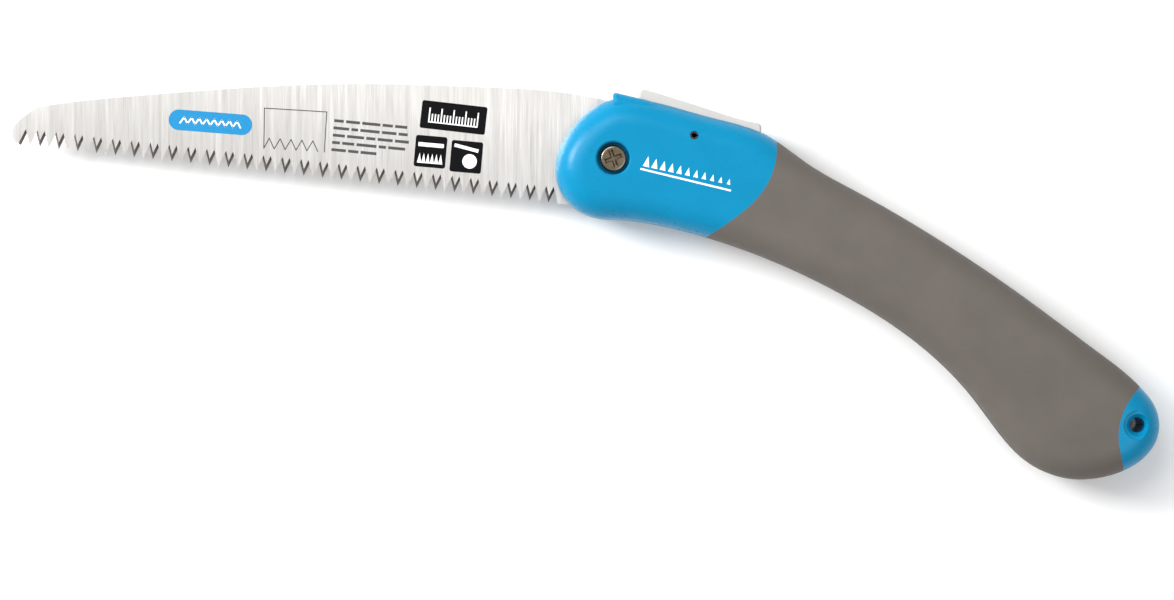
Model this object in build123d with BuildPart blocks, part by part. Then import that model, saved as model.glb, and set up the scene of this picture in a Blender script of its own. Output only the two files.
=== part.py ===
"""Folding pruning saw, lying flat and open: blade to -X, handle to +X, thickness along Z.

Sketch coordinates are millimetres from the pivot. MID is the plane of the blade, where the
two handle shells meet.
"""
from build123d import *
import os
from math import atan2, cos, degrees, radians, sin

os.makedirs("parts", exist_ok=True)

# ---------------------------------------------------------------- driving dimensions
PIVOT_X = 9.275            # the pivot's place in the finished frame
PIVOT_Y = 40.2
HALF_HANDLE = 12.0       # half the handle's thickness
MID = HALF_HANDLE
EDGE_ROUND = 9.0         # round along the handle's edges
SKIN = 2.0               # thickness of the rubber grips

BLADE_THICK = 1.3
RIM = 16.4               # radius of the tang, and the tooth line's distance from the pivot
TOOTH_SLOPE = -6.24      # degrees, the tooth line against X
TOOTH_PITCH = 3.127
TOOTH_COUNT = 56
TOOTH_DEPTH = 4.3        # depth seen between two teeth
BEVEL_SHIFT = 0.8        # how far a gullet leans sideways through the plate
HEEL = 19.7              # plain edge between the pivot's foot and the last tooth
BLADE_REACH = 198.3      # pivot to the furthest point of the blade

FOLD = 153.0             # degrees from open to folded
SLOT_HALF = 1.4          # half the width of the blade slot
TOOTH_ROOM = 1.0         # room beyond the tooth line in the folded saw

LEVER_PIN = (26.4, 7.5)
LEVER_TRAVEL = 7.0       # degrees between released and locked
LEVER_HALF = 5.0
PAWL_HALF = 1.5
PIN_RADIUS = 1.4
HOOK = (10.3, 12.3)      # middle of the hook at the tang's rim, when locked

HANG_HOLE = (171.4, -87.2)
SCREWS = {"front": (62.0, -9.0), "middle": (110.0, -38.0), "rear": (155.0, -70.0)}


def level(z):
    """Sketch plane at height z, with its origin on the pivot's axis."""
    return Plane((PIVOT_X, PIVOT_Y, z))


def turned(point, centre, angle):
    """The point turned about the centre, anticlockwise, in degrees."""
    a = radians(angle)
    dx = point[0] - centre[0]
    dy = point[1] - centre[1]
    return (centre[0] + dx * cos(a) - dy * sin(a), centre[1] + dx * sin(a) + dy * cos(a))


def along(angle, distance, side=0.0):
    """A point at a distance from the pivot in a direction, moved sideways to its left."""
    a = radians(angle)
    return (distance * cos(a) - side * sin(a), distance * sin(a) + side * cos(a))


FOOT = TOOTH_SLOPE - 90                 # direction from the pivot to the tooth line, open
FOLDED_FOOT = FOOT + FOLD               # the same, folded
TEETH_AT = FOLDED_FOOT - 90             # direction in which the folded blade lies

# ---------------------------------------------------------------- handle outline
BACK = [(3.0, 20.1), (9.0, 19.8), (22.1, 16.7), (35.3, 13.1), (48.3, 9.2), (61.7, 0.1),
        (81.5, -11.4), (107.9, -26.9), (134.3, -44.7), (160.7, -64.3)]
END = [(173.7, -75.3), (179.6, -86.6), (174.8, -98.0), (165.0, -103.4), (154.1, -105.4)]
BELLY = [(141.5, -102.6), (132.8, -96.4), (121.1, -81.5), (101.3, -61.2), (74.9, -44.1),
         (48.3, -31.7), (22.1, -23.3)]
NOSE = [(2.3, -19.9), (-9.8, -17.9), (-17.6, -10.0), (-18.7, -0.5), (-15.0, 8.3), (-6.9, 16.5)]

with BuildLine():
    handle_curve = Spline(*BACK, *END, *BELLY, *NOSE, periodic=True)


def arc_outline(distance=0.0, count=28):
    """The handle's outline moved inwards by a distance, as a chain of tangent arcs.

    Two arcs join each pair of neighbouring points, with the curve's own direction at both.
    """
    stations = []
    for k in range(count):
        spot = handle_curve @ (k / count)
        forward = handle_curve % (k / count)
        stations.append((Vector(spot.X + distance * forward.Y, spot.Y - distance * forward.X),
                         Vector(forward.X, forward.Y)))
    for (start, leave), (end, arrive) in zip(stations, stations[1:] + stations[:1]):
        chord = end - start
        spread = chord.dot(leave + arrive)
        bend = 2 * (1 - leave.dot(arrive))
        reach = (-spread + (spread ** 2 + bend * chord.dot(chord)) ** 0.5) / bend
        middle = (start + end + (leave - arrive) * reach) * 0.5
        TangentArc(start, middle, tangent=leave)
        TangentArc(end, middle, tangent=-arrive)


with BuildPart() as envelope:
    with BuildSketch(level(MID)):
        with BuildLine():
            arc_outline()
        make_face()
    extrude(amount=HALF_HANDLE, both=True)
    faces_up_down = envelope.faces().filter_by(Axis.Z)
    fillet(faces_up_down.edges(), EDGE_ROUND)

with BuildPart() as core:
    with BuildSketch(level(MID)):
        with BuildLine():
            arc_outline(SKIN)
        make_face()
    extrude(amount=HALF_HANDLE - SKIN, both=True)
    core_faces = core.faces().filter_by(Axis.Z)
    fillet(core_faces.edges(), EDGE_ROUND - SKIN)

# The stretch of handle that the rubber covers, between two curved borders
with BuildSketch(level(MID)) as grip_zone:
    with BuildLine():
        front = Spline((55.0, 18.0), (53.7, 5.8), (53.1, -0.5), (49.8, -9.3), (40.5, -18.9),
                       (30.6, -25.7), (20.0, -33.0))
        rear = Spline((169.5, -110.0), (167.4, -102.3), (164.9, -90.6), (167.0, -81.8),
                      (172.9, -74.6), (182.0, -70.0))
        Polyline(front @ 1, (100.0, -125.0), rear @ 0)
        Polyline(rear @ 1, (110.0, 5.0), front @ 0)
    make_face()

# ---------------------------------------------------------------- space for the blade
with BuildSketch(level(MID)) as slot:
    with BuildLine():
        edge = along(FOLDED_FOOT, RIM + TOOTH_ROOM)
        far = along(TEETH_AT, 260.0, RIM + TOOTH_ROOM)
        Polyline((0, 60), (0, 0), edge, far, (200, -260), (-260, -260), (-260, 60), close=True)
    make_face()
    Circle(RIM + 0.35)
    Circle(BLADE_REACH + 0.9, mode=Mode.INTERSECT)

# ---------------------------------------------------------------- space for the lever
with BuildSketch(level(MID)) as lever_well:
    with BuildLine():
        Polyline((6.1, 40), (6.1, 16.8), (12.0, 14.0), (22.0, 8.3), (25.0, 4.9), (49.3, 4.9),
                 (49.3, 40), close=True)
    make_face()
    with Locations(LEVER_PIN):
        Circle(3.5)

INWARD = degrees(atan2(HOOK[1] - LEVER_PIN[1], HOOK[0] - LEVER_PIN[0])) + 90


def hook_corners(tip, root, depth, height):
    """Corners of the tapered hook when locked, from its half widths at the tip and the root."""
    across = INWARD + 90
    corners = []
    for reach, half in ((depth, tip), (depth, -tip), (-height, -root), (-height, root)):
        dx = reach * cos(radians(INWARD)) + half * cos(radians(across))
        dy = reach * sin(radians(INWARD)) + half * sin(radians(across))
        corners.append((HOOK[0] + dx, HOOK[1] + dy))
    return corners


# ---------------------------------------------------------------- shells
RIB_STATIONS = [56.8, 75.0, 94.0, 112.8, 131.0, 150.0, 168.0]
with BuildSketch(level(MID)) as hollows:
    with BuildLine():
        arc_outline(5.2)
    make_face()
    with BuildLine():
        Polyline(along(TEETH_AT, 50, -60), along(TEETH_AT, 50, 60), along(TEETH_AT, 176, 60),
                 along(TEETH_AT, 176, -60), close=True)
    make_face(mode=Mode.INTERSECT)
    for station in RIB_STATIONS:
        with Locations(Location((*along(TEETH_AT, station, 0), 0), (0, 0, TEETH_AT))):
            Rectangle(1.8, 160, mode=Mode.SUBTRACT)
    with Locations(Location((*along(TEETH_AT, 113, RIM + TOOTH_ROOM + 1.3), 0), (0, 0, TEETH_AT))):
        Rectangle(160, 2.6, mode=Mode.SUBTRACT)
    for spot in SCREWS.values():
        with Locations(spot):
            Circle(4.2, mode=Mode.SUBTRACT)

with BuildPart() as hang_dish:
    with BuildSketch(Plane((PIVOT_X + HANG_HOLE[0], PIVOT_Y + HANG_HOLE[1], MID),
                           x_dir=(1, 0, 0), z_dir=(0, -1, 0))):
        with BuildLine():
            Polyline((0, 9.5), (2.5, 9.5), (3.7, 11.2), (4.9, 11.5), (4.9, 14), (0, 14), close=True)
        make_face()
    revolve(axis=Axis((PIVOT_X + HANG_HOLE[0], PIVOT_Y + HANG_HOLE[1], MID), (0, 0, 1)))
    mirror(about=Plane.XY.offset(MID))

# Nut recess, bolt bore, sleeve seats and bolt head recess, from below to above
BORE = [(0, -1), (5.85, -1), (5.85, 0), (5.35, 0.5), (5.35, 6.2), (2.55, 6.2), (2.55, 8), (4.0, 8),
        (4.0, 16), (2.55, 16), (2.55, 19.6), (5.35, 19.6), (5.35, 23.5), (5.85, 24), (5.85, 26), (0, 26)]
with BuildPart() as pivot_bore:
    with BuildSketch(Plane((PIVOT_X, PIVOT_Y, 0), x_dir=(1, 0, 0), z_dir=(0, -1, 0))):
        with BuildLine():
            Polyline(*BORE, close=True)
        make_face()
    revolve(axis=Axis((PIVOT_X, PIVOT_Y, 0), (0, 0, 1)))

with BuildPart() as rubber_space:
    extrude(grip_zone.sketch, amount=HALF_HANDLE + 1, both=True)
    add(envelope.part, clean=False, mode=Mode.INTERSECT)
    add(core.part, clean=False, mode=Mode.SUBTRACT)

# Raised crest on the nose: its front face is the stop that the blade's shoulder meets
with BuildPart() as crest:
    with BuildSketch(level(MID)):
        with BuildLine():
            Polyline((0, 12), (0, 21.3), (0.6, 21.8), (11.0, 19.3), (16.0, 17.4), (16.0, 12), close=True)
        make_face()
    extrude(amount=9.0, both=True)
    crest_rims = crest.faces().filter_by(Axis.Z).edges().filter_by(lambda e: e.center().Y > PIVOT_Y + 17.9)
    fillet(crest_rims, 3.0)

with BuildPart() as casing:
    add(envelope.part, clean=False)
    add(rubber_space.part, clean=False, mode=Mode.SUBTRACT)
    add(crest.part, clean=False)
    extrude(slot.sketch, amount=SLOT_HALF, both=True, clean=False, mode=Mode.SUBTRACT)
    extrude(lever_well.sketch, amount=LEVER_HALF + 0.3, both=True, clean=False, mode=Mode.SUBTRACT)
    # Channel that lets the pawl's hook down to the tang
    with BuildSketch(level(MID)):
        with BuildLine():
            Polyline((6.9, 18.0), (6.9, 10.0), (14.4, 8.0), (14.4, 15.0), close=True)
        make_face()
    extrude(amount=PAWL_HALF + 0.25, both=True, clean=False, mode=Mode.SUBTRACT)
    # Seat of the lever spring
    with BuildSketch(Plane((PIVOT_X + 41.0, PIVOT_Y - 2.0, MID), z_dir=(0, 1, 0))):
        Circle(2.8)
    extrude(amount=8.0, clean=False, mode=Mode.SUBTRACT)
    extrude(hollows.sketch, amount=6.8, both=True, clean=False, mode=Mode.SUBTRACT)
    # Bores right through: lever pin and hang hole
    with BuildSketch(level(MID)):
        with Locations(LEVER_PIN):
            Circle(PIN_RADIUS)
        with Locations(HANG_HOLE):
            Circle(2.5)
    extrude(amount=15.0, both=True, clean=False, mode=Mode.SUBTRACT)
    add(pivot_bore.part, clean=False, mode=Mode.SUBTRACT)
    # Pilot holes above the parting plane, clearance holes and head recesses below it
    for z, radius, depth in ((MID, 1.3, 8.0), (MID, 1.5, -14.0), (5.0, 3.1, -6.0)):
        with BuildSketch(level(z)):
            with Locations(*SCREWS.values()):
                Circle(radius)
        extrude(amount=depth, clean=False, mode=Mode.SUBTRACT)
    add(hang_dish.part, clean=False, mode=Mode.SUBTRACT)

with BuildPart() as left_shell:
    split(casing.part, bisect_by=Plane.XY.offset(MID), keep=Keep.TOP, mode=Mode.ADD)

with BuildPart() as right_shell:
    split(casing.part, bisect_by=Plane.XY.offset(MID), keep=Keep.BOTTOM, mode=Mode.ADD)

# ---------------------------------------------------------------- rubber grips
with BuildPart() as rubber:
    add(rubber_space.part, clean=False)
    extrude(slot.sketch, amount=SLOT_HALF, both=True, clean=False, mode=Mode.SUBTRACT)
    with BuildSketch(level(5.0)):
        with Locations(*SCREWS.values()):
            Circle(3.1)
    extrude(amount=-6.0, clean=False, mode=Mode.SUBTRACT)

with BuildPart() as left_grip:
    split(rubber.part, bisect_by=Plane.XY.offset(MID), keep=Keep.TOP, mode=Mode.ADD)

with BuildPart() as right_grip:
    split(rubber.part, bisect_by=Plane.XY.offset(MID), keep=Keep.BOTTOM, mode=Mode.ADD)

# ---------------------------------------------------------------- blade
SPINE = [(-1.7, 19.4), (-14.0, 21.8), (-42.6, 23.9), (-87.0, 25.0), (-123.4, 23.6),
         (-153.1, 21.4), (-176.0, 19.3), (-188.4, 17.6)]
NOSE_POINT = along(FOOT, RIM, -(HEEL + TOOTH_COUNT * TOOTH_PITCH))

with BuildPart() as blade:
    with BuildSketch(level(MID)):
        with BuildLine():
            shoulder = (-0.15, 17.9)
            spine = Spline(*SPINE)
            tip = Spline(spine @ 1, (-193.5, 14.8), (-197.9, 10.2), (-197.6, 6.5), NOSE_POINT,
                         tangents=[spine % 1, (0.8, -0.5)])
            foot = along(FOOT, RIM)
            Line(tip @ 1, foot)
            rim_end = (-0.15, (RIM ** 2 - 0.15 ** 2) ** 0.5)
            ThreePointArc(foot, (RIM, 0), rim_end)
            Line(rim_end, shoulder)
            TangentArc(shoulder, spine @ 0, tangent=(0, 1))
        make_face()
    extrude(amount=BLADE_THICK / 2, both=True)
    # Gullets lean left and right in turn, so every second tooth is bevelled on one side
    wide = (TOOTH_PITCH + BEVEL_SHIFT) / 2
    deep = TOOTH_DEPTH * (TOOTH_PITCH + BEVEL_SHIFT) / TOOTH_PITCH
    lean = BEVEL_SHIFT / BLADE_THICK
    for k in range(TOOTH_COUNT + 1):
        middle = -(HEEL + (TOOTH_COUNT - k - 0.5) * TOOTH_PITCH)
        side = 1 if k % 2 else -1
        start = middle - side * lean * (BLADE_THICK / 2 + 1)
        corners = [along(FOOT, RIM - deep, start), along(FOOT, RIM + 1, start - wide * (1 + 1 / deep)),
                   along(FOOT, RIM + 1, start + wide * (1 + 1 / deep))]
        slant = Vector(*along(FOOT, 0, side * lean), 1)
        with BuildSketch(level(MID - BLADE_THICK / 2 - 1)) as gullet:
            Polygon(*corners, align=None)
        extrude(gullet.sketch, amount=slant.length * (BLADE_THICK + 2), dir=slant, mode=Mode.SUBTRACT)
    with Locations((PIVOT_X, PIVOT_Y, MID)):
        Cylinder(4.04, 10.0, mode=Mode.SUBTRACT)
    # One notch locks the blade open, the other locks it folded
    notch = hook_corners(1.75, 2.15, 2.9, 4.0)
    for fold in (0, -FOLD):
        with BuildSketch(level(MID)):
            Polygon(*[turned(corner, (0, 0), fold) for corner in notch], align=None)
        extrude(amount=BLADE_THICK, both=True, mode=Mode.SUBTRACT)

# ---------------------------------------------------------------- pivot
with BuildPart() as pivot_sleeve:
    with BuildSketch(level(MID - 4)):
        Circle(4.0)
        Circle(2.55, mode=Mode.SUBTRACT)
    extrude(amount=8.0)

with BuildPart() as upper_washer:
    with BuildSketch(level(MID + SLOT_HALF - 0.7)):
        Circle(7.0)
        Circle(4.05, mode=Mode.SUBTRACT)
    extrude(amount=0.7)

with BuildPart() as lower_washer:
    with BuildSketch(level(MID - SLOT_HALF)):
        Circle(7.0)
        Circle(4.05, mode=Mode.SUBTRACT)
    extrude(amount=0.7)

with BuildPart() as spring_washer:
    with BuildSketch(Plane((PIVOT_X, PIVOT_Y, 19.6), x_dir=(1, 0, 0), z_dir=(0, -1, 0))):
        with BuildLine():
            Polyline((2.6, 0.4), (2.6, 0.8), (4.2, 0.4), (4.2, 0), close=True)
        make_face()
    revolve(axis=Axis((PIVOT_X, PIVOT_Y, MID), (0, 0, 1)))

with BuildPart() as pivot_bolt:
    with BuildSketch(level(0.9)):
        Circle(2.5)
    extrude(amount=19.5)
    with BuildSketch(level(20.4)):
        Circle(4.3)
    extrude(amount=2.4)
    head_top = pivot_bolt.faces().sort_by(Axis.Z)[-1]
    fillet(head_top.edges(), 0.8)
    # Cross recess
    for turn in (20, 110):
        with BuildSketch(level(22.8)):
            with Locations(Location((0, 0, 0), (0, 0, turn))):
                Rectangle(5.8, 1.5)
        extrude(amount=-1.8, taper=14, mode=Mode.SUBTRACT)
    thread_end = pivot_bolt.faces().sort_by(Axis.Z)[0]
    chamfer(thread_end.edges(), 0.5)

with BuildPart() as nut_washer:
    with BuildSketch(level(5.2)):
        Circle(5.0)
        Circle(2.65, mode=Mode.SUBTRACT)
    extrude(amount=1.0)

with BuildPart() as pivot_nut:
    with BuildSketch(level(2.0)):
        RegularPolygon(8.0 / 2, 6, major_radius=False)
    extrude(amount=3.2)
    with BuildSketch(level(0.6)):
        Circle(3.7)
    extrude(amount=1.4)
    collar = pivot_nut.faces().sort_by(Axis.Z)[0]
    fillet(collar.edges(), 0.5)
    with BuildSketch(level(0.6)):
        Circle(2.5)
    extrude(amount=5.0, mode=Mode.SUBTRACT)
    with BuildSketch(level(0.9)):
        Circle(3.2)
    extrude(amount=1.2, mode=Mode.SUBTRACT)

with BuildPart() as nut_insert:
    with BuildSketch(level(0.9)):
        Circle(3.2)
        Circle(2.5, mode=Mode.SUBTRACT)
    extrude(amount=1.2)

# ---------------------------------------------------------------- lock lever, shown released
with BuildSketch(level(MID)) as pawl_shape:
    with BuildLine():
        Polyline((9.8, 20.6), (13.0, 20.3), (26.0, 14.6), (36.5, 11.0), (36.5, 7.0), (28.0, 5.4),
                 (21.5, 10.3), (13.2, 16.8), (9.8, 18.8), close=True)
    make_face()
    with Locations(LEVER_PIN):
        Circle(2.9)
    locked = hook_corners(1.55, 2.0, 2.8, 6.0)
    Polygon(*[turned(corner, LEVER_PIN, -LEVER_TRAVEL) for corner in locked], align=None)
    Circle(RIM + 0.35, mode=Mode.SUBTRACT)
    with Locations(LEVER_PIN):
        Circle(PIN_RADIUS + 0.03, mode=Mode.SUBTRACT)

with BuildPart() as lock_pawl:
    add(pawl_shape.sketch)
    extrude(amount=PAWL_HALF, both=True)

with BuildPart() as lock_lever:
    with BuildSketch(level(MID)):
        with BuildLine():
            ridge = Spline((8.3, 23.5), (21.3, 19.6), (31.8, 16.2), (41.3, 13.2), (48.8, 11.7))
            Polyline(ridge @ 1, (48.5, 5.6), (28.0, 5.6), (22.0, 9.9), (13.0, 16.5), (8.3, 19.4), ridge @ 0)
        make_face()
        with Locations(LEVER_PIN):
            Circle(2.9)
    extrude(amount=LEVER_HALF, both=True)
    corners = lock_lever.edges().filter_by(Axis.Z)
    fillet([corners.sort_by(Axis.Y)[-1], corners.sort_by(Axis.X)[-1]], 1.5)
    rims = lock_lever.faces().filter_by(Axis.Z).edges()
    fillet(rims.filter_by(lambda e: e.center().Y > PIVOT_Y + 11.3), 0.8)
    extrude(pawl_shape.sketch, amount=PAWL_HALF, both=True, mode=Mode.SUBTRACT)
    with Locations((PIVOT_X + LEVER_PIN[0], PIVOT_Y + LEVER_PIN[1], MID)):
        Cylinder(PIN_RADIUS + 0.03, 30.0, mode=Mode.SUBTRACT)
    with Locations(Location((PIVOT_X + 41.0, PIVOT_Y + 4.0, MID), (-90, 0, 0))):
        Cylinder(2.8, 4.2, align=(Align.CENTER, Align.CENTER, Align.MIN), mode=Mode.SUBTRACT)

with BuildPart() as lever_pin:
    with BuildSketch(Plane((PIVOT_X + LEVER_PIN[0], PIVOT_Y + LEVER_PIN[1], 1.0))):
        Circle(PIN_RADIUS)
        Circle(0.8, mode=Mode.SUBTRACT)
        with Locations((1.0, 0)):
            Rectangle(2.0, 0.4, mode=Mode.SUBTRACT)
    extrude(amount=22.2)

with BuildPart() as lever_spring:
    with BuildLine():
        coil = Helix(pitch=1.5, height=9.3, radius=2.15, direction=(0, 1, 0),
                     center=(PIVOT_X + 41.0, PIVOT_Y - 1.65, MID))
    with BuildSketch(Plane(coil @ 0, z_dir=coil % 0)):
        Circle(0.3)
    sweep(path=coil, is_frenet=True)

# ---------------------------------------------------------------- shell screws


def shell_screw(spot):
    """Pan-head thread-forming screw, driven from the right side."""
    with BuildPart() as screw:
        with BuildSketch(level(3.0)):
            with Locations(spot):
                Circle(2.7)
        extrude(amount=2.0)
        fillet(screw.faces().sort_by(Axis.Z)[0].edges(), 0.7)
        for turn in (45, 135):
            with BuildSketch(level(3.0)):
                with Locations(Location((*spot, 0), (0, 0, turn))):
                    Rectangle(3.2, 0.7)
            extrude(amount=1.2, taper=10, mode=Mode.SUBTRACT)
        with BuildSketch(level(5.0)):
            with Locations(spot):
                Circle(1.3)
        extrude(amount=14.4)
        chamfer(screw.faces().sort_by(Axis.Z)[-1].edges(), 0.5)
    return screw


screw_front = shell_screw(SCREWS["front"])
screw_middle = shell_screw(SCREWS["middle"])
screw_rear = shell_screw(SCREWS["rear"])

# ---------------------------------------------------------------- finished pieces
PIECES = {
    "left_shell": left_shell,
    "right_shell": right_shell,
    "left_grip": left_grip,
    "right_grip": right_grip,
    "blade": blade,
    "pivot_bolt": pivot_bolt,
    "spring_washer": spring_washer,
    "pivot_sleeve": pivot_sleeve,
    "upper_washer": upper_washer,
    "lower_washer": lower_washer,
    "nut_washer": nut_washer,
    "pivot_nut": pivot_nut,
    "nut_insert": nut_insert,
    "lock_lever": lock_lever,
    "lock_pawl": lock_pawl,
    "lever_pin": lever_pin,
    "lever_spring": lever_spring,
    "screw_front": screw_front,
    "screw_middle": screw_middle,
    "screw_rear": screw_rear,
}
for name, piece in PIECES.items():
    piece.part.label = name
    export_step(piece.part, f"parts/{name}.step")
    box = piece.part.bounding_box()
    print(f"{name:14s} solids {len(piece.part.solids())} volume {piece.part.volume:9.1f} "
          f"x {box.min.X:7.2f} {box.max.X:7.2f} y {box.min.Y:7.2f} {box.max.Y:7.2f} "
          f"z {box.min.Z:6.2f} {box.max.Z:6.2f}")
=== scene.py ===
"""Look of the folding pruning saw: materials, prints, floor, light and camera.

Lengths are metres. mm() turns millimetres from the pivot into the frame's metres.
"""
from math import cos, pi, radians, sin

import bpy
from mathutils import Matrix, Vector


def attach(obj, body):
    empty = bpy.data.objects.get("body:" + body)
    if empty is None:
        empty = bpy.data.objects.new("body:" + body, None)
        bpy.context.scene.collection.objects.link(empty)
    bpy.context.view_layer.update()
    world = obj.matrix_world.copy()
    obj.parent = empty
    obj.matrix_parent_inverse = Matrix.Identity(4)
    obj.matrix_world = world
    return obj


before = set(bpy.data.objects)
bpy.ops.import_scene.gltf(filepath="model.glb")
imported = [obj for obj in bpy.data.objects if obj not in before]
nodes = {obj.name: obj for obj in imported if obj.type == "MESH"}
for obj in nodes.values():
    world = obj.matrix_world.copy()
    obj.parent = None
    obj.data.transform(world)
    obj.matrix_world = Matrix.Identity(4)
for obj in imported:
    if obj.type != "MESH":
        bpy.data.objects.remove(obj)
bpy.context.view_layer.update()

PIVOT = (9.275, 40.2)
TOOTH_SLOPE = -6.24
BLADE_TOP = 12.65
SHELL_TOP = 24.0
FILM = 0.02              # thickness of a printed film
FILM_GAP = 0.004         # gap that keeps a film clear of the face under it


def mm(x, y, z=0.0):
    return ((PIVOT[0] + x) / 1000, (PIVOT[1] + y) / 1000, z / 1000)


# ---------------------------------------------------------------- materials
class Shader:
    """A Principled material with a few short helpers for its nodes."""

    def __init__(self, name, colour, roughness, metallic=0.0, **sockets):
        self.material = bpy.data.materials.new(name)
        self.material.use_nodes = True
        self.tree = self.material.node_tree
        self.bsdf = self.tree.nodes["Principled BSDF"]
        self.bsdf.inputs["Base Color"].default_value = (*colour, 1)
        self.bsdf.inputs["Roughness"].default_value = roughness
        self.bsdf.inputs["Metallic"].default_value = metallic
        for socket, value in sockets.items():
            self.bsdf.inputs[socket.replace("_", " ")].default_value = value
        self.coords = self.tree.nodes.new("ShaderNodeTexCoord").outputs["Object"]
        self.height = None

    def link(self, a, b):
        self.tree.links.new(a, b)

    def noise(self, size, detail=2.0, stretch=(1, 1, 1), turn=0.0, rough=0.5):
        """Noise with features of about size millimetres, stretched by a factor on each axis."""
        mapping = self.tree.nodes.new("ShaderNodeMapping")
        mapping.inputs["Rotation"].default_value = (0, 0, radians(turn))
        mapping.inputs["Scale"].default_value = tuple(1000 / size / s for s in stretch)
        noise = self.tree.nodes.new("ShaderNodeTexNoise")
        noise.inputs["Scale"].default_value = 1.0
        noise.inputs["Detail"].default_value = detail
        noise.inputs["Roughness"].default_value = rough
        self.link(self.coords, mapping.inputs["Vector"])
        self.link(mapping.outputs["Vector"], noise.inputs["Vector"])
        return noise.outputs["Fac"]

    def spread(self, value, low, high, start=0.3, end=0.7):
        """A 0 to 1 value spread over a range."""
        node = self.tree.nodes.new("ShaderNodeMapRange")
        node.inputs["From Min"].default_value = start
        node.inputs["From Max"].default_value = end
        node.inputs["To Min"].default_value = low
        node.inputs["To Max"].default_value = high
        self.link(value, node.inputs["Value"])
        return node.outputs["Result"]

    def math(self, operation, a, b):
        node = self.tree.nodes.new("ShaderNodeMath")
        node.operation = operation
        for k, value in enumerate((a, b)):
            if isinstance(value, (int, float)):
                node.inputs[k].default_value = value
            else:
                self.link(value, node.inputs[k])
        return node.outputs[0]

    def blend(self, value, low, high):
        """A colour between two others."""
        node = self.tree.nodes.new("ShaderNodeMix")
        node.data_type = "RGBA"
        node.inputs["A"].default_value = (*low, 1)
        node.inputs["B"].default_value = (*high, 1)
        self.link(value, node.inputs["Factor"])
        return node.outputs["Result"]

    def colour(self, output):
        self.link(output, self.bsdf.inputs["Base Color"])

    def roughness(self, output):
        self.link(output, self.bsdf.inputs["Roughness"])

    def bump(self, value, depth, strength=1.0):
        """Relief with a depth in millimetres, on top of any before it."""
        node = self.tree.nodes.new("ShaderNodeBump")
        node.inputs["Strength"].default_value = strength
        node.inputs["Distance"].default_value = depth / 1000
        self.link(value, node.inputs["Height"])
        if self.height:
            self.link(self.height, node.inputs["Normal"])
        self.height = node.outputs["Normal"]
        self.link(self.height, self.bsdf.inputs["Normal"])


def blue_plastic():
    s = Shader("blue_plastic", (0.0015, 0.22, 0.41), 0.29, Specular_IOR_Level=0.17)
    s.colour(s.blend(s.spread(s.noise(9.0, 3.0), 0, 1), (0.0012, 0.213, 0.40), (0.0018, 0.227, 0.425)))
    s.roughness(s.spread(s.noise(2.5, 4.0), 0.26, 0.33))
    s.bump(s.noise(0.5, 3.0), 0.012)
    return s.material


def grey_rubber():
    s = Shader("grey_rubber", (0.125, 0.11, 0.097), 0.62, Specular_IOR_Level=0.25)
    s.colour(s.blend(s.spread(s.noise(14.0, 4.0), 0, 1), (0.118, 0.104, 0.091), (0.132, 0.116, 0.103)))
    s.roughness(s.spread(s.noise(3.0, 4.0), 0.56, 0.7))
    s.bump(s.noise(0.28, 3.0), 0.02)
    return s.material


def brushed_blade():
    """Steel ground across the blade, with finer ground flanks on the teeth and edges whose darker colour is
    painted shade, standing in for dark reflections.
    """
    s = Shader("brushed_blade", (0.72, 0.70, 0.67), 0.34, 1.0)
    fine = s.noise(0.16, 3.0, (1, 120, 1), 3.0, 0.75)
    broad = s.noise(1.1, 3.0, (1, 60, 1), 3.0, 0.6)
    both = s.math("ADD", s.math("MULTIPLY", fine, 0.7), s.math("MULTIPLY", broad, 0.3))
    grain_colour = s.blend(s.spread(both, 0, 1, 0.38, 0.62), (0.66, 0.64, 0.61), (0.86, 0.845, 0.82))
    # Painted light and shade: the ground face is painted lighter near the pivot and darker towards the tip
    # and towards the teeth
    place = s.tree.nodes.new("ShaderNodeSeparateXYZ")
    s.link(s.coords, place.inputs["Vector"])
    tilt = radians(TOOTH_SLOPE)
    from_pivot_x = s.math("SUBTRACT", place.outputs["X"], PIVOT[0] / 1000)
    from_pivot_y = s.math("SUBTRACT", place.outputs["Y"], PIVOT[1] / 1000)
    across = s.math("ADD", s.math("MULTIPLY", from_pivot_x, -sin(tilt)),
                    s.math("MULTIPLY", from_pivot_y, cos(tilt)))
    painted_light_and_shade = s.math("MULTIPLY", s.spread(place.outputs["X"], 0.78, 1.12, -0.16, 0.0),
                   s.spread(across, 0.86, 1.0, -0.014, 0.012))
    scaled = s.tree.nodes.new("ShaderNodeVectorMath")
    scaled.operation = "SCALE"
    s.link(grain_colour, scaled.inputs[0])
    s.link(painted_light_and_shade, scaled.inputs["Scale"])
    face = scaled.outputs["Vector"]
    # Painted shade: faces that do not face straight up, the tooth and edge flanks, get a dark colour in
    # place of the dark reflections they would catch
    normal = s.tree.nodes.new("ShaderNodeNewGeometry").outputs["True Normal"]
    axes = s.tree.nodes.new("ShaderNodeSeparateXYZ")
    s.link(normal, axes.inputs["Vector"])
    flat = s.spread(s.math("ABSOLUTE", axes.outputs["Z"], 0.0), 0, 1, 0.75, 0.95)
    grain = s.spread(s.noise(0.3, 3.0), 0, 1)
    flank_painted_shade = s.blend(grain, (0.05, 0.042, 0.038), (0.17, 0.14, 0.12))
    mix = s.tree.nodes.new("ShaderNodeMix")
    mix.data_type = "RGBA"
    s.link(flat, mix.inputs["Factor"])
    s.link(flank_painted_shade, mix.inputs["A"])
    s.link(face, mix.inputs["B"])
    s.colour(mix.outputs["Result"])
    s.roughness(s.spread(both, 0.3, 0.46))
    s.bump(fine, 0.005, 0.7)
    return s.material


def metal(name, colour, roughness, size=0.6):
    s = Shader(name, colour, roughness, 1.0)
    dark = tuple(0.8 * c for c in colour)
    s.colour(s.blend(s.spread(s.noise(size * 3, 3.0), 0, 1), dark, colour))
    s.roughness(s.spread(s.noise(size, 3.0), roughness * 0.85, roughness * 1.25))
    s.bump(s.noise(size * 0.5, 2.0), 0.006)
    return s.material


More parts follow.
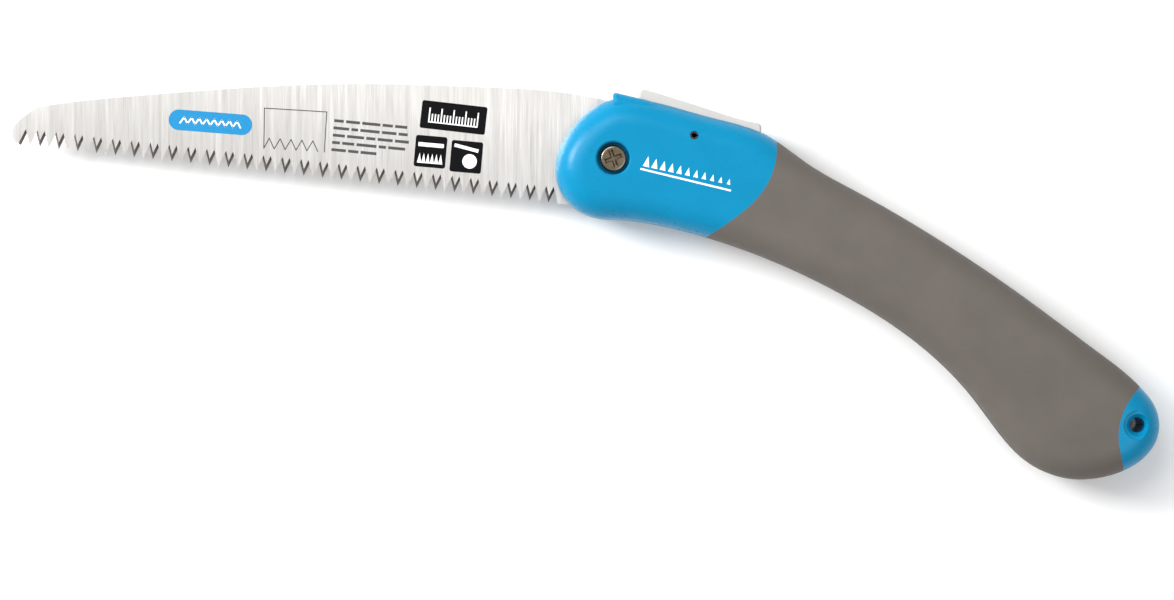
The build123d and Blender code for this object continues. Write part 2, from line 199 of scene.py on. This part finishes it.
def plastic(name, colour, roughness, grain=0.35):
    s = Shader(name, colour, roughness, Specular_IOR_Level=0.45)
    dark = tuple(0.94 * c for c in colour)
    s.colour(s.blend(s.spread(s.noise(7.0, 3.0), 0, 1), dark, colour))
    s.roughness(s.spread(s.noise(2.0, 3.0), roughness * 0.9, roughness * 1.12))
    s.bump(s.noise(grain, 3.0), 0.012)
    return s.material


def ink(name, colour):
    s = Shader(name, colour, 0.5, Specular_IOR_Level=0.06)
    pale = tuple(min(1.0, 1.15 * c) for c in colour)
    s.colour(s.blend(s.spread(s.noise(0.6, 3.0), 0, 1), colour, pale))
    return s.material


shell_look = blue_plastic()
grip_look = grey_rubber()
blade_look = brushed_blade()
zinc_look = metal("zinc_steel", (0.62, 0.61, 0.58), 0.34)
bronze_look = metal("bronzed_steel", (0.29, 0.235, 0.165), 0.24, 0.9)
dark_look = metal("dark_pin", (0.08, 0.08, 0.085), 0.45)
lever_look = plastic("lever_plastic", (0.53, 0.515, 0.495), 0.42)
nylon_look = plastic("nylon", (0.80, 0.80, 0.76), 0.4)

LOOKS = {
    "left_shell": shell_look, "right_shell": shell_look,
    "left_grip": grip_look, "right_grip": grip_look,
    "blade": blade_look, "pivot_bolt": bronze_look, "lever_pin": dark_look,
    "lock_lever": lever_look, "upper_washer": nylon_look, "lower_washer": nylon_look,
    "nut_insert": nylon_look,
}
for name, node in nodes.items():
    node.data.materials.clear()
    node.data.materials.append(LOOKS.get(name, zinc_look))


# ---------------------------------------------------------------- prints
def plate(name, shapes, place, angle, z, look, body):
    """A thin printed film: flat outlines in millimetres, turned and placed on a face at height z."""
    points = []
    faces = []
    c = cos(radians(angle))
    s = sin(radians(angle))
    for shape in shapes:
        first = len(points)
        n = len(shape)
        for height in (z + FILM_GAP, z + FILM):
            for x, y in shape:
                points.append(mm(place[0] + c * x - s * y, place[1] + s * x + c * y, height))
        faces.append([first + k for k in reversed(range(n))])
        faces.append([first + n + k for k in range(n)])
        for k in range(n):
            j = (k + 1) % n
            faces.append([first + k, first + j, first + n + j, first + n + k])
    mesh = bpy.data.meshes.new(name)
    mesh.from_pydata(points, [], faces)
    mesh.materials.append(look)
    piece = bpy.data.objects.new(name, mesh)
    bpy.context.scene.collection.objects.link(piece)
    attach(piece, body)
    return piece


def rounded(w, h, r, x=0.0, y=0.0, steps=8):
    """Outline of a rectangle with rounded corners."""
    shape = []
    for k, (sx, sy) in enumerate(((1, 1), (-1, 1), (-1, -1), (1, -1))):
        for j in range(steps + 1):
            a = (k + j / steps) * pi / 2
            shape.append((x + sx * (w / 2 - r) + r * cos(a), y + sy * (h / 2 - r) + r * sin(a)))
    return shape


def bar(x0, y0, x1, y1, width):
    """Outline of a straight stroke."""
    along = Vector((x1 - x0, y1 - y0)).normalized()
    side = Vector((-along.y, along.x)) * width / 2
    return [(x0 - side.x, y0 - side.y), (x1 - side.x, y1 - side.y),
            (x1 + side.x, y1 + side.y), (x0 + side.x, y0 + side.y)]


def stroke(points, width):
    """Strokes along a line of points, each a little longer so that the corners fill."""
    shapes = []
    for (x0, y0), (x1, y1) in zip(points, points[1:]):
        d = Vector((x1 - x0, y1 - y0)).normalized() * width * 0.4
        shapes.append(bar(x0 - d.x, y0 - d.y, x1 + d.x, y1 + d.y, width))
    return shapes


black_ink = ink("black_ink", (0.004, 0.004, 0.005))
grey_ink = ink("grey_ink", (0.07, 0.07, 0.07))
white_ink = ink("white_ink", (0.86, 0.86, 0.85))
blue_ink = ink("blue_ink", (0.02, 0.21, 0.43))

# Blue badge with a plain zigzag
plate("print_badge", [rounded(27.6, 6.8, 3.35)], (-132.8, 12.3), -4.6, BLADE_TOP, blue_ink, "blade")
zigzag = [(-10.0 + k * 1.25, 1.0 if k % 2 else -1.0) for k in range(17)]
plate("print_badge_mark", stroke(zigzag, 0.5), (-132.8, 12.3), -4.6, BLADE_TOP + FILM, white_ink,
      "blade")

# Outline drawing of a saw edge
teeth = [(-9.0, -6.4)]
for k in range(5):
    teeth += [(-7.4 + k * 3.6, -3.0), (-5.6 + k * 3.6, -6.4)]
frame_line = [(-9.0, -6.4), (-9.6, 6.8), (11.0, 6.8), (11.0, -6.4)]
plate("print_diagram", stroke(frame_line, 0.32) + stroke(teeth, 0.32), (-105.8, 9.6), -3.5, BLADE_TOP,
      grey_ink, "blade")

# Five rows of plain dashes in place of small print
dashes = []
for row, words in enumerate(((3.2, 4.6, 6.0, 3.4, 4.0), (5.2, 2.2, 6.4, 4.8, 3.0), (4.0, 5.6, 3.0, 5.0, 4.6),
                             (2.6, 4.0, 6.6, 2.4, 5.6), (4.8, 3.4, 5.2))):
    x = -12.6
    for length in words:
        dashes.append(bar(x, 4.8 - row * 2.4, x + length, 4.8 - row * 2.4, 0.95))
        x += length + 0.75
plate("print_notes", dashes, (-79.9, 6.9), -5.5, BLADE_TOP, grey_ink, "blade")

# Black block with a plain scale, and two small pictures
plate("print_block", [rounded(21.6, 9.2, 0.7)], (-52.6, 13.9), -6.5, BLADE_TOP, black_ink, "blade")
ticks = [bar(-8.0 + k, -2.2, -8.0 + k, 2.4 if k % 4 == 0 else 0.4, 0.42) for k in range(17)]
ticks.append(bar(-8.2, -2.3, 8.2, -2.3, 0.42))
plate("print_block_scale", ticks, (-52.6, 13.9), -6.5, BLADE_TOP + FILM, white_ink, "blade")

picture = [rounded(10.4, 10.4, 0.8)]
plate("print_picture_a", picture, (-60.2, 2.6), -5.0, BLADE_TOP, black_ink, "blade")
comb = [[(-4.2 + k * 1.4, -3.9), (-3.5 + k * 1.4, -0.6), (-2.8 + k * 1.4, -3.9)] for k in range(6)]
plate("print_picture_a_mark", comb + [bar(-4.2, 2.2, 4.2, 2.2, 1.3)], (-60.2, 2.6), -5.0, BLADE_TOP + FILM,
      white_ink, "blade")
plate("print_picture_b", picture, (-48.4, 0.9), -5.0, BLADE_TOP, black_ink, "blade")
log = [(1.2 + 2.4 * cos(k * pi / 12), -1.4 + 2.4 * sin(k * pi / 12)) for k in range(24)]
plate("print_picture_b_mark", [log, bar(-4.2, 3.6, 3.8, -0.2 + 2.4, 1.1)], (-48.4, 0.9), -5.0,
      BLADE_TOP + FILM, white_ink, "blade")

# Plain row of teeth on the nose
row = []
for k in range(11):
    size = 1.0 - 0.045 * k
    x = -14.0 + k * 2.75
    row.append([(x - 1.1 * size, -1.5 * size), (x + 1.1 * size, -1.5 * size), (x, 1.9 * size)])
row.append(bar(-15.6, -2.6, 14.8, -2.6, 0.6))
plate("nose_mark", row, (24.6, -4.6), -13.6, SHELL_TOP, white_ink, "handle")

# ---------------------------------------------------------------- floor
floor_mesh = bpy.data.meshes.new("floor")
floor_mesh.from_pydata([(-3, -3, 0), (3, -3, 0), (3, 3, 0), (-3, 3, 0)], [], [(0, 1, 2, 3)])
floor = bpy.data.objects.new("floor", floor_mesh)
bpy.context.scene.collection.objects.link(floor)
floor_look = Shader("floor", (0.93, 0.93, 0.93), 0.85)
floor_mesh.materials.append(floor_look.material)

# ---------------------------------------------------------------- light
world = bpy.data.worlds.new("studio")
bpy.context.scene.world = world
world.use_nodes = True
world.node_tree.nodes["Background"].inputs["Color"].default_value = (1, 1, 1, 1)
world.node_tree.nodes["Background"].inputs["Strength"].default_value = 0.55


def softbox(name, place, target, size, power):
    light = bpy.data.lights.new(name, "AREA")
    light.shape = "RECTANGLE"
    light.size, light.size_y = size
    light.energy = power
    lamp = bpy.data.objects.new(name, light)
    lamp.location = place
    lamp.rotation_euler = (Vector(target) - Vector(place)).to_track_quat("-Z", "Y").to_euler()
    bpy.context.scene.collection.objects.link(lamp)


bpy.context.scene.view_settings.view_transform = "Standard"
softbox("key", (-0.5, 0.75, 1.3), (0, 0, 0), (1.1, 0.8), 10.5)
softbox("low_left", (-0.85, 0.4, 0.6), (0, 0.04, 0.01), (0.4, 0.4), 13)
softbox("fill", (0.7, -0.5, 1.4), (0.05, 0, 0), (1.0, 1.0), 5)

# ---------------------------------------------------------------- camera
VIEW_WIDTH = 0.3874
DISTANCE = 1.1
camera_data = bpy.data.cameras.new("camera")
camera_data.sensor_width = 36
camera_data.lens = 36 * DISTANCE / VIEW_WIDTH
camera_data.clip_end = 20
camera = bpy.data.objects.new("camera", camera_data)
camera.location = mm(-8.6, -46.3, 12 + 1000 * DISTANCE)
bpy.context.scene.collection.objects.link(camera)
bpy.context.scene.camera = camera
